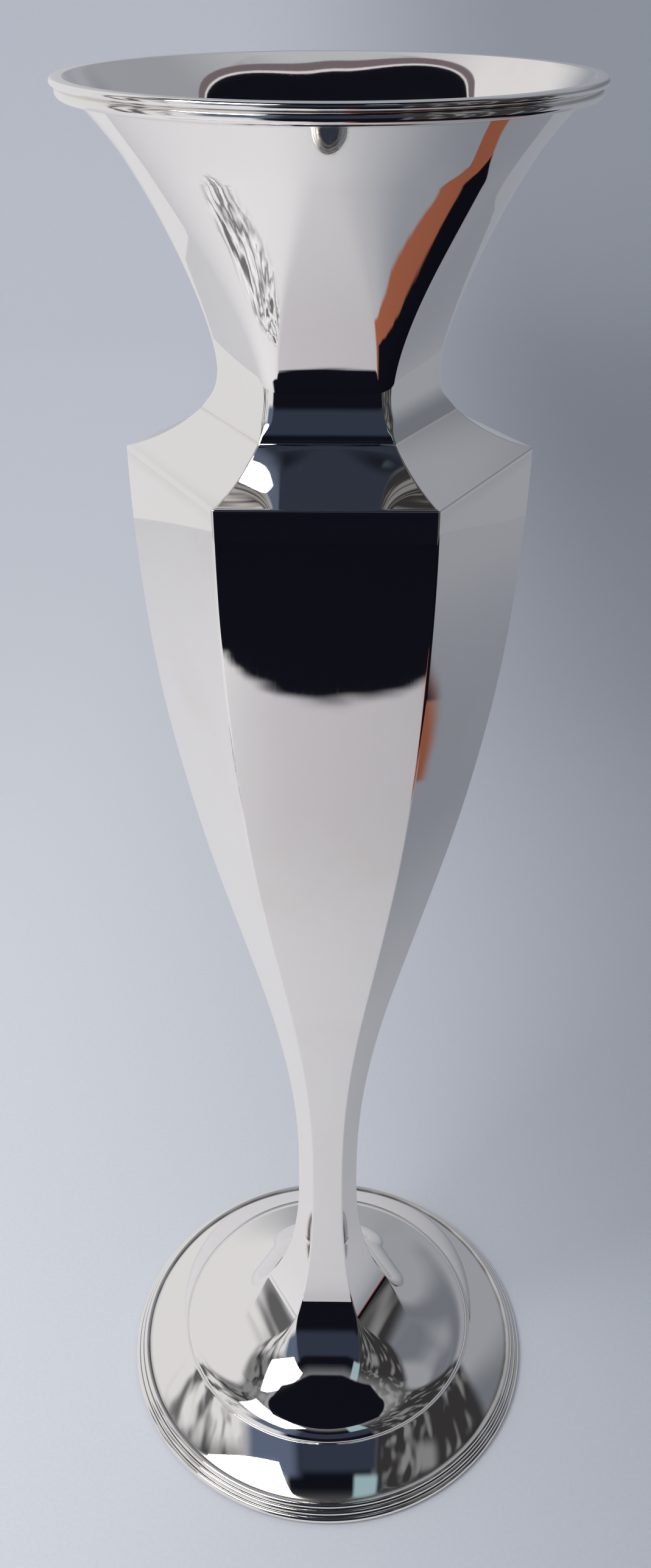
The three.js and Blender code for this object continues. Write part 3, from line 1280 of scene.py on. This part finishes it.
@dataclass(frozen=True)
class Card:
    """A soft-edged card on the round wall."""

    paint: Paint
    start: float  # degrees round to the right from the front
    end: float
    side_blur: float  # degrees
    bottom: float = -1.0  # below the wall
    top: float = 9.0  # above the wall
    edge_blur: float = 0.15

    def lay(self, sheet: NodeSheet, turn: Input, height: Input, under: Input) -> Socket:
        """Lays the card over the colours under it.

        Args:
            sheet: The nodes to add to.
            turn: Degrees round to the right from the front.
            height: Height above the floor.
            under: The colours under the card.

        Returns:
            The colours with the card.
        """
        beside = sheet.band(turn, self.start, self.end, self.side_blur)
        level = sheet.band(height, self.bottom, self.top, self.edge_blur)
        return sheet.mix(sheet.product(beside, level), under, self.paint)


@dataclass(frozen=True)
class PaintedFolds:
    """Upright folds in one part of the round wall: dark ones are painted shade and pale ones painted
    highlights in what the metal mirrors.
    """

    paint: Paint
    start: float  # degrees round to the right from the front
    end: float
    side_blur: float  # degrees
    fade: Span  # values of the noise at which a fold begins and is full
    share: float = 1.0  # how strong a full fold is

    def lay(self, sheet: NodeSheet, turn: Input, pleats: Input, under: Input) -> Socket:
        """Lays the folds over the colours under them.

        Args:
            sheet: The nodes to add to.
            turn: Degrees round to the right from the front.
            pleats: The noise that places the folds.
            under: The colours under the folds.

        Returns:
            The colours with the folds.
        """
        beside = sheet.band(turn, self.start, self.end, self.side_blur)
        folded = sheet.stretch(pleats, *self.fade, 0.0, self.share)
        return sheet.mix(sheet.product(beside, folded), under, self.paint)


@dataclass(frozen=True)
class CardWall:
    """A round wall of glowing cards and a roof over it, which only the metal sees: their colours are
    painted reflections.
    """

    radius: float = 0.9
    height: float = 1.5
    # colours that the cards glow with, as painted reflections
    soot: Paint = shade(52, 51, 53)
    navy: Paint = shade(48, 55, 70)
    blue: Paint = shade(92, 103, 126)
    sky: Paint = shade(150, 178, 186)
    slate: Paint = shade(112, 117, 126)
    ash: Paint = shade(130, 131, 133)
    dull: Paint = shade(152, 156, 164)
    pale: Paint = shade(223, 223, 226)
    roof: Paint = shade(182, 185, 190)
    roof_middle: float = 0.15  # radius of the part of the roof that has no other colour
    pleat_scale: float = 10  # folds for each metre round the wall
    pleat_drop: float = 0.22  # share of that from top to bottom, because folds hang

    def cards(self) -> list[Card]:
        """Lists the cards.

        Returns:
            The cards, each laid over those before it.
        """
        # each card glows with a patch of painted reflection
        return [
            Card(self.dull, start=142, end=240, side_blur=40),
            Card(self.dull, start=-240, end=-150, side_blur=30),
            Card(self.ash, start=-104, end=-50, side_blur=8, bottom=0.72, edge_blur=0.35),
            Card(self.dull, start=80, end=178, side_blur=14),
            Card(self.slate, start=80, end=170, side_blur=18, bottom=0.27, top=0.95, edge_blur=0.3),
            Card(self.slate, start=80, end=128, side_blur=18, bottom=0.6, top=1.3, edge_blur=0.25),
            Card(self.soot, start=28, end=101, side_blur=6),
            Card(self.ash, start=56, end=72, side_blur=6, bottom=0.75, top=1.35, edge_blur=0.22),
            Card(GLOOM, start=-31, end=36, side_blur=8),
            Card(self.blue, start=-58, end=-13, side_blur=12, bottom=0.3, top=1.4, edge_blur=0.2),
            Card(self.navy, start=-20, end=36, side_blur=6, bottom=0.36, top=1.3, edge_blur=0.2),
            # a small cyan painted highlight
            Card(self.sky, start=17, end=35, side_blur=3, bottom=1.2),
        ]

    def folds(self) -> list[PaintedFolds]:
        """Lists the folds.

        Returns:
            Dark folds of painted shade on the left and pale ones of painted highlight on the right.
        """
        return [
            PaintedFolds(GLOOM, start=-104, end=-50, side_blur=11, fade=(0.4, 0.66), share=0.85),
            PaintedFolds(self.ash, start=34, end=100, side_blur=6, fade=(0.5, 0.72)),
        ]

    def colour(self, sheet: NodeSheet) -> Socket:
        """Paints the round wall's painted reflections.

        Args:
            sheet: The nodes to add to.

        Returns:
            The colour of the cards and of the folds over them.
        """
        turn = sheet.math("MULTIPLY_ADD", sheet.direction(), 360.0, -180.0)
        _, _, height = sheet.split(sheet.place())
        hung = sheet.turned(sheet.place(), degrees=(0, 0, 0), scale=(1, 1, self.pleat_drop))
        pleats = sheet.noise(hung, self.pleat_scale, detail=1)
        colour = self.pale
        for card in self.cards():
            colour = card.lay(sheet, turn, height, colour)
        for folds in self.folds():
            colour = folds.lay(sheet, turn, pleats, colour)
        return colour

    def build_wall(self) -> None:
        """Makes the round wall, which glows with painted reflections."""
        part = StagePart("round_cards")
        part.spin([spot(self.radius, 0), spot(self.radius, self.height)])
        part.glow(self.colour(part.sheet))
        part.make(SeenBy.METAL)

    def build_roof(self) -> None:
        """Makes the roof, which glows with painted reflections and takes up the wall's colours towards its
        edge.
        """
        part = StagePart("roof_card")
        part.spin([spot(0, self.height), spot(self.radius, self.height)])
        sheet = part.sheet
        outward = sheet.distance(sheet.place(), (0, 0, self.height))
        share = sheet.stretch(outward, self.roof_middle, self.radius)
        part.glow(sheet.mix(share, self.roof, self.colour(sheet)))
        part.make(SeenBy.METAL)


@dataclass(frozen=True)
class MirroredFloor:
    """The floor's colours as only the metal sees them, a painted reflection that gives the silver its
    streaks.

    Across runs to the right, along runs to the rear, and outward runs from the middle of a round
    edge. A pair of lengths says where a colour begins to come in and where it is full. Painted shade
    darkens the reflection to the right, it is paler again far to the right, out of that shade, and
    painted darker in front; the streaks on the left hold painted highlights and dark painted lines,
    and a warm strip and the dark beyond it are painted into the reflection too.
    """

    left: Paint = shade(228, 227, 229)
    # painted shade: the reflected floor darkens to the right
    right: Paint = shade(155, 159, 167)
    right_across: Span = (-0.15, 0.28)
    # paler again far to the right, out of the painted shade
    far_right: Paint = shade(180, 182, 188)
    far_right_across: Span = (0.4, 0.75)
    # painted darker tone in front
    front: Paint = shade(168, 161, 168)
    front_along: Span = (-0.06, -0.3)
    front_across: Span = (-0.1, 0.14)  # both sides of the front's colour
    front_blur: float = 0.08
    front_share: float = 0.42
    edge_middle: Place = (0, 0.1, 0)
    edge_waves: float = 7  # for each metre
    edge_sway: float = 0.032
    streaked_outward: Span = (0.35, 0.465)  # both sides of the streaks on the left
    streaked_around: Span = (0.22, 0.47)  # both their ends, in turns, with the front at 0.5
    streaked_blur: float = 0.03
    streaks_per_turn: float = 17
    streaks_per_metre: float = 27
    streak_tones: Stops = (  # painted pale highlights and dark shade lines, by the value of their noise
        (0.36, shade(112, 110, 111)),
        (0.41, shade(246, 246, 247)),
        (0.48, shade(206, 205, 207)),
        (0.53, shade(112, 110, 111)),
        (0.57, shade(244, 244, 246)),
        (0.66, shade(190, 189, 191)),
    )
    strip: Paint = shade(160, 96, 72)  # a warm strip painted into the reflection on the right
    strip_outward: Span = (0.375, 0.385)
    strip_across: Span = (0.045, 0.07)
    strip_along: Span = (0.103, 0.091)  # how far back it goes, at the middle of the floor
    strip_slant: float = 0.43  # and how much farther for each metre to the right
    strip_flare: float = 0.055  # how much wider it gets at its end
    strip_flare_along: Span = (0.14, 0.215)
    dark_outward: Span = (0.437, 0.447)  # the painted dark reflection beyond the strip
    dark_across: Span = (0.08, 0.12)
    end_along: Span = (-0.425, -0.452)  # the painted dark reflection in front
    end_across: Span = (-0.4, -0.25)
    end_bulge: float = 16.0  # per metre, how that edge bends away to its sides
    end_bulge_limit: float = 0.1
    end_waves: float = 30  # for each metre
    end_sway: float = 0.03

    def plain(self, sheet: NodeSheet, across: Input, along: Input) -> Socket:
        """Paints the reflected floor without its streaks and darks, with painted shade to the right and in
        front.

        Args:
            sheet: The nodes to add to.
            across: How far to the right.
            along: How far to the rear.

        Returns:
            The colour.
        """
        colour = sheet.mix(sheet.stretch(across, *self.right_across), self.left, self.right)
        colour = sheet.mix(sheet.stretch(across, *self.far_right_across), colour, self.far_right)
        ahead = sheet.stretch(along, *self.front_along, 0.0, self.front_share)
        between = sheet.band(across, *self.front_across, self.front_blur)
        return sheet.mix(sheet.product(ahead, between), colour, self.front)

    def streaked(self, sheet: NodeSheet, outward: Input, under: Input) -> Socket:
        """Lays streaks of painted highlight and painted shade along the round edge on the left.

        Args:
            sheet: The nodes to add to.
            outward: Distance from the middle of the edge.
            under: The colour under the streaks.

        Returns:
            The colour, with pale streaks of painted highlight and dark ones of painted shade.
        """
        around = sheet.direction()
        inputs = {0: sheet.math("MULTIPLY", around, self.streaks_per_turn),
                  1: sheet.math("MULTIPLY", outward, self.streaks_per_metre)}
        unrolled = sheet.add("ShaderNodeCombineXYZ", inputs).outputs[0]
        tone = sheet.ramp(sheet.noise(unrolled, scale=1, detail=3), self.streak_tones)
        edge = sheet.band(outward, *self.streaked_outward, self.streaked_blur)
        side = sheet.band(around, *self.streaked_around, self.streaked_blur)
        return sheet.mix(sheet.product(edge, side), under, tone)

    def end(self, sheet: NodeSheet, place: Input) -> Socket:
        """Marks the painted dark reflection in front, behind a wavy edge.

        Args:
            sheet: The nodes to add to.
            place: The place on the floor.

        Returns:
            1 in the dark and 0 on the floor.
        """
        across, along, _ = sheet.split(place)
        bulge = sheet.math("MULTIPLY", sheet.math("POWER", across, 2.0), self.end_bulge)
        wavy = sheet.math("ADD", along, sheet.sway(place, self.end_waves, detail=1, height=self.end_sway))
        bent = sheet.math("ADD", wavy, sheet.math("MINIMUM", bulge, self.end_bulge_limit))
        return sheet.product(sheet.stretch(bent, *self.end_along), sheet.stretch(across, *self.end_across))

    def colour(self, sheet: NodeSheet, place: Input) -> Socket:
        """Paints the floor's painted reflection.

        Args:
            sheet: The nodes to add to.
            place: The place on the floor.

        Returns:
            The colour, with streaks on the left, a warm strip on the right and the dark beyond.
        """
        across, along, _ = sheet.split(place)
        sway = sheet.sway(place, self.edge_waves, detail=2, height=self.edge_sway)
        outward = sheet.math("ADD", sway, sheet.distance(place, self.edge_middle))
        floor = self.streaked(sheet, outward, self.plain(sheet, across, along))
        slanted = sheet.math("MULTIPLY_ADD", across, -self.strip_slant, along)
        beside = sheet.stretch(slanted, *self.strip_along)
        flare = sheet.stretch(along, *self.strip_flare_along, 0.0, self.strip_flare)
        flared = sheet.math("ADD", outward, flare)
        strip = sheet.product(beside, sheet.stretch(across, *self.strip_across),
                              sheet.stretch(flared, *self.strip_outward))
        beyond = sheet.product(beside, sheet.stretch(across, *self.dark_across),
                               sheet.stretch(outward, *self.dark_outward))
        dark = sheet.math("MAXIMUM", beyond, self.end(sheet, place))
        return sheet.mix(dark, sheet.mix(strip, floor, self.strip), GLOOM)


@dataclass(frozen=True)
class PaperSweep:
    """The pale floor and the wall that it curves up into, with painted light and shade in the paper's
    colour.

    A pair of lengths says where a colour begins to come in and where it is full.
    """

    mirrored: MirroredFloor = MirroredFloor()
    floor_reach: float = 1.6
    curve_radius: float = 0.9
    wall_height: float = 1.7
    foot_gap: float = 0.06  # the floor is open under the hollow of the foot, so that it can be seen into
    near_left: Paint = shade(216, 219, 225)
    # painted shade: the paper darkens to the right
    near_right: Paint = shade(168, 172, 182)
    # painted light: paler far back on the left
    far_left: Paint = shade(230, 233, 240)
    # painted shade, deeper far back on the right
    far_right: Paint = shade(148, 152, 161)
    # painted light: paler towards the back and up the wall
    wall: Paint = shade(238, 240, 246)
    far_left_along: Span = (0.5, 1.5)
    far_right_along: Span = (0.15, 0.6)
    right_across: Span = (-0.22, 0.3)
    wall_along: Span = (1.0, 2.3)
    wall_share: float = 0.35
    grain_scale: float = 700  # specks for each metre
    grain_fade: Span = (0.2, 0.8)
    grain_share: float = 0.04

    def outline(self) -> Outline:
        """Draws the line that is spun.

        Returns:
            The points, from the gap under the foot out to the top of the wall.
        """
        centre = spot(self.floor_reach, self.curve_radius)
        floor = [spot(self.foot_gap, 0), spot(self.floor_reach / 2, 0)]
        wall_top = spot(centre.x + self.curve_radius, self.wall_height)
        return floor + arc(centre, self.curve_radius, -90, 0) + [wall_top]

    def colour(self, sheet: NodeSheet, place: Input) -> Socket:
        """Paints the paper.

        Args:
            sheet: The nodes to add to.
            place: The place on the paper.

        Returns:
            The colour, with painted light on the left, far back and up the wall, painted shade to the
            right, and a fine grain.
        """
        across, along, _ = sheet.split(place)
        left = sheet.mix(sheet.stretch(along, *self.far_left_along), self.near_left, self.far_left)
        right = sheet.mix(sheet.stretch(along, *self.far_right_along), self.near_right, self.far_right)
        paper = sheet.mix(sheet.stretch(across, *self.right_across), left, right)
        paper = sheet.mix(sheet.stretch(along, *self.wall_along, 0.0, self.wall_share), paper, self.wall)
        grain = sheet.noise(place, self.grain_scale, detail=3)
        return sheet.mix(sheet.stretch(grain, *self.grain_fade, 0.0, self.grain_share), paper, GLOOM)

    def build(self) -> None:
        """Makes the sweep, which is clear from behind and shows the metal a painted reflection in colours
        of its own.
        """
        part = StagePart("paper_sweep")
        part.spin(self.outline())
        sheet = part.sheet
        place = sheet.place()
        glossy = sheet.add("ShaderNodeLightPath", {}).outputs["Is Glossy Ray"]
        # the metal sees the painted reflection, the camera the paper with its painted light and shade
        colour = sheet.mix(glossy, self.colour(sheet, place), self.mirrored.colour(sheet, place))
        shader = sheet.add("ShaderNodeBsdfDiffuse", {"Color": colour})
        clear = sheet.add("ShaderNodeBsdfTransparent", {})
        behind = sheet.add("ShaderNodeNewGeometry", {}).outputs["Backfacing"]
        both = sheet.add("ShaderNodeMixShader", {0: behind, 1: shader.outputs[0], 2: clear.outputs[0]})
        sheet.add("ShaderNodeOutputMaterial", {"Surface": both.outputs[0]})
        part.make(SeenBy.ALL)


@dataclass(frozen=True)
class HangingCard:
    """A glowing dark card over the front of the vase, which only the metal sees: a painted dark reflection.

    A pair of lengths says where an edge begins and where the card is full.
    """

    height: float = 0.8
    cut_from: float = 0.45  # half the width of the clear sheet that holds it
    left: Span = (-0.3, -0.29)
    right: Span = (0.29, 0.28)
    front: Span = (-0.34, -0.31)
    front_rounding: float = 1.6  # per metre, how the front edge bends back to its sides
    back: float = -0.002  # on the axis, from where the back edge bows to the rear
    back_blur: float = 0.004
    back_bow: float = 0.125
    back_bow_across: Span = (0.02, 0.24)
    back_tilt: float = 0.08
    # a pinkish painted reflection along the back edge
    rim: Paint = shade(112, 101, 108)
    rim_width: float = 0.017
    line: Paint = shade(214, 212, 214)  # a pale painted highlight line between the rim and the dark
    line_width: float = 0.006
    line_blur: float = 0.002

    def build(self) -> None:
        """Makes the glowing card, a painted dark reflection, with a painted rim and a painted highlight
        line along its back edge.
        """
        part = StagePart("dark_card")
        middle = Matrix.Translation((0, 0, self.height))
        bmesh.ops.create_grid(part.mesh, x_segments=1, y_segments=1, size=self.cut_from, matrix=middle)
        sheet = part.sheet
        across, along, _ = sheet.split(sheet.place())
        bow = sheet.stretch(sheet.math("ABSOLUTE", across), *self.back_bow_across, 0.0, self.back_bow)
        tilted = sheet.math("MULTIPLY_ADD", across, self.back_tilt, along)
        behind = sheet.math("SUBTRACT", tilted, bow)
        ahead = sheet.math("MULTIPLY_ADD", sheet.math("POWER", across, 2.0), -self.front_rounding, along)
        rim_start = self.back - self.rim_width
        line_start = rim_start - self.line_width
        rimmed = sheet.stretch(behind, rim_start - self.line_blur, rim_start)
        edging = sheet.mix(rimmed, self.line, self.rim)
        edged = sheet.stretch(behind, line_start - self.line_blur, line_start)
        cover = sheet.product(
            sheet.stretch(behind, self.back + self.back_blur, self.back),
            sheet.stretch(ahead, *self.front),
            sheet.stretch(across, *self.left),
            sheet.stretch(across, *self.right),
        )
        shader = sheet.add("ShaderNodeEmission", {"Color": sheet.mix(edged, GLOOM, edging)})
        clear = sheet.add("ShaderNodeBsdfTransparent", {})
        both = sheet.add("ShaderNodeMixShader", {0: cover, 1: clear.outputs[0], 2: shader.outputs[0]})
        sheet.add("ShaderNodeOutputMaterial", {"Surface": both.outputs[0]})
        part.material.cycles.emission_sampling = "NONE"
        part.make(SeenBy.METAL)


@dataclass(frozen=True)
class Studio:
    """A pale sweep with painted light and shade and a soft lamp, with glowing cards of painted reflection
    that only the metal sees.
    """

    sweep: PaperSweep = PaperSweep()
    card_wall: CardWall = CardWall()
    dark_card: HangingCard = HangingCard()
    lamp: SoftLamp = SoftLamp("softbox", place=(-0.55, -0.43, 1.15), aim=(0, 0, 0.15), size=(0.65, 0.5),
                              watts=8.0)
    fill: Paint = shade(248, 250, 255)
    fill_strength: float = 0.75

    def light_evenly(self) -> None:
        """Makes the even light from all round."""
        world = bpy.data.worlds.new("even_light")
        world.use_nodes = True
        background = world.node_tree.nodes["Background"]
        background.inputs["Color"].default_value = self.fill
        background.inputs["Strength"].default_value = self.fill_strength
        bpy.context.scene.world = world

    def build(self) -> None:
        """Makes the whole studio."""
        self.sweep.build()
        self.card_wall.build_wall()
        self.card_wall.build_roof()
        self.dark_card.build()
        self.lamp.make()
        self.light_evenly()


def main() -> None:
    """Builds the vase piece by piece, dresses it and puts it in the studio."""
    bpy.context.scene.view_settings.view_transform = "Standard"
    marks = Landmarks.read()
    hand_work = HandWork()
    foot = Foot(marks, hand_work)
    foot.build_shell()
    foot.build_wire()
    body = Body(marks, hand_work)
    body.build_sides()
    body.build_shoulder()
    neck = Neck(marks, hand_work)
    neck.build_shell()
    neck.build_wire()
    finishes = Finishes()
    for part in (foot, body, neck):
        part.dress(finishes)
    PhotoCamera().make()
    Studio().build()


if __name__ == "__main__":
    logging.basicConfig(level=logging.INFO, format="%(name)s: %(message)s")
    main()
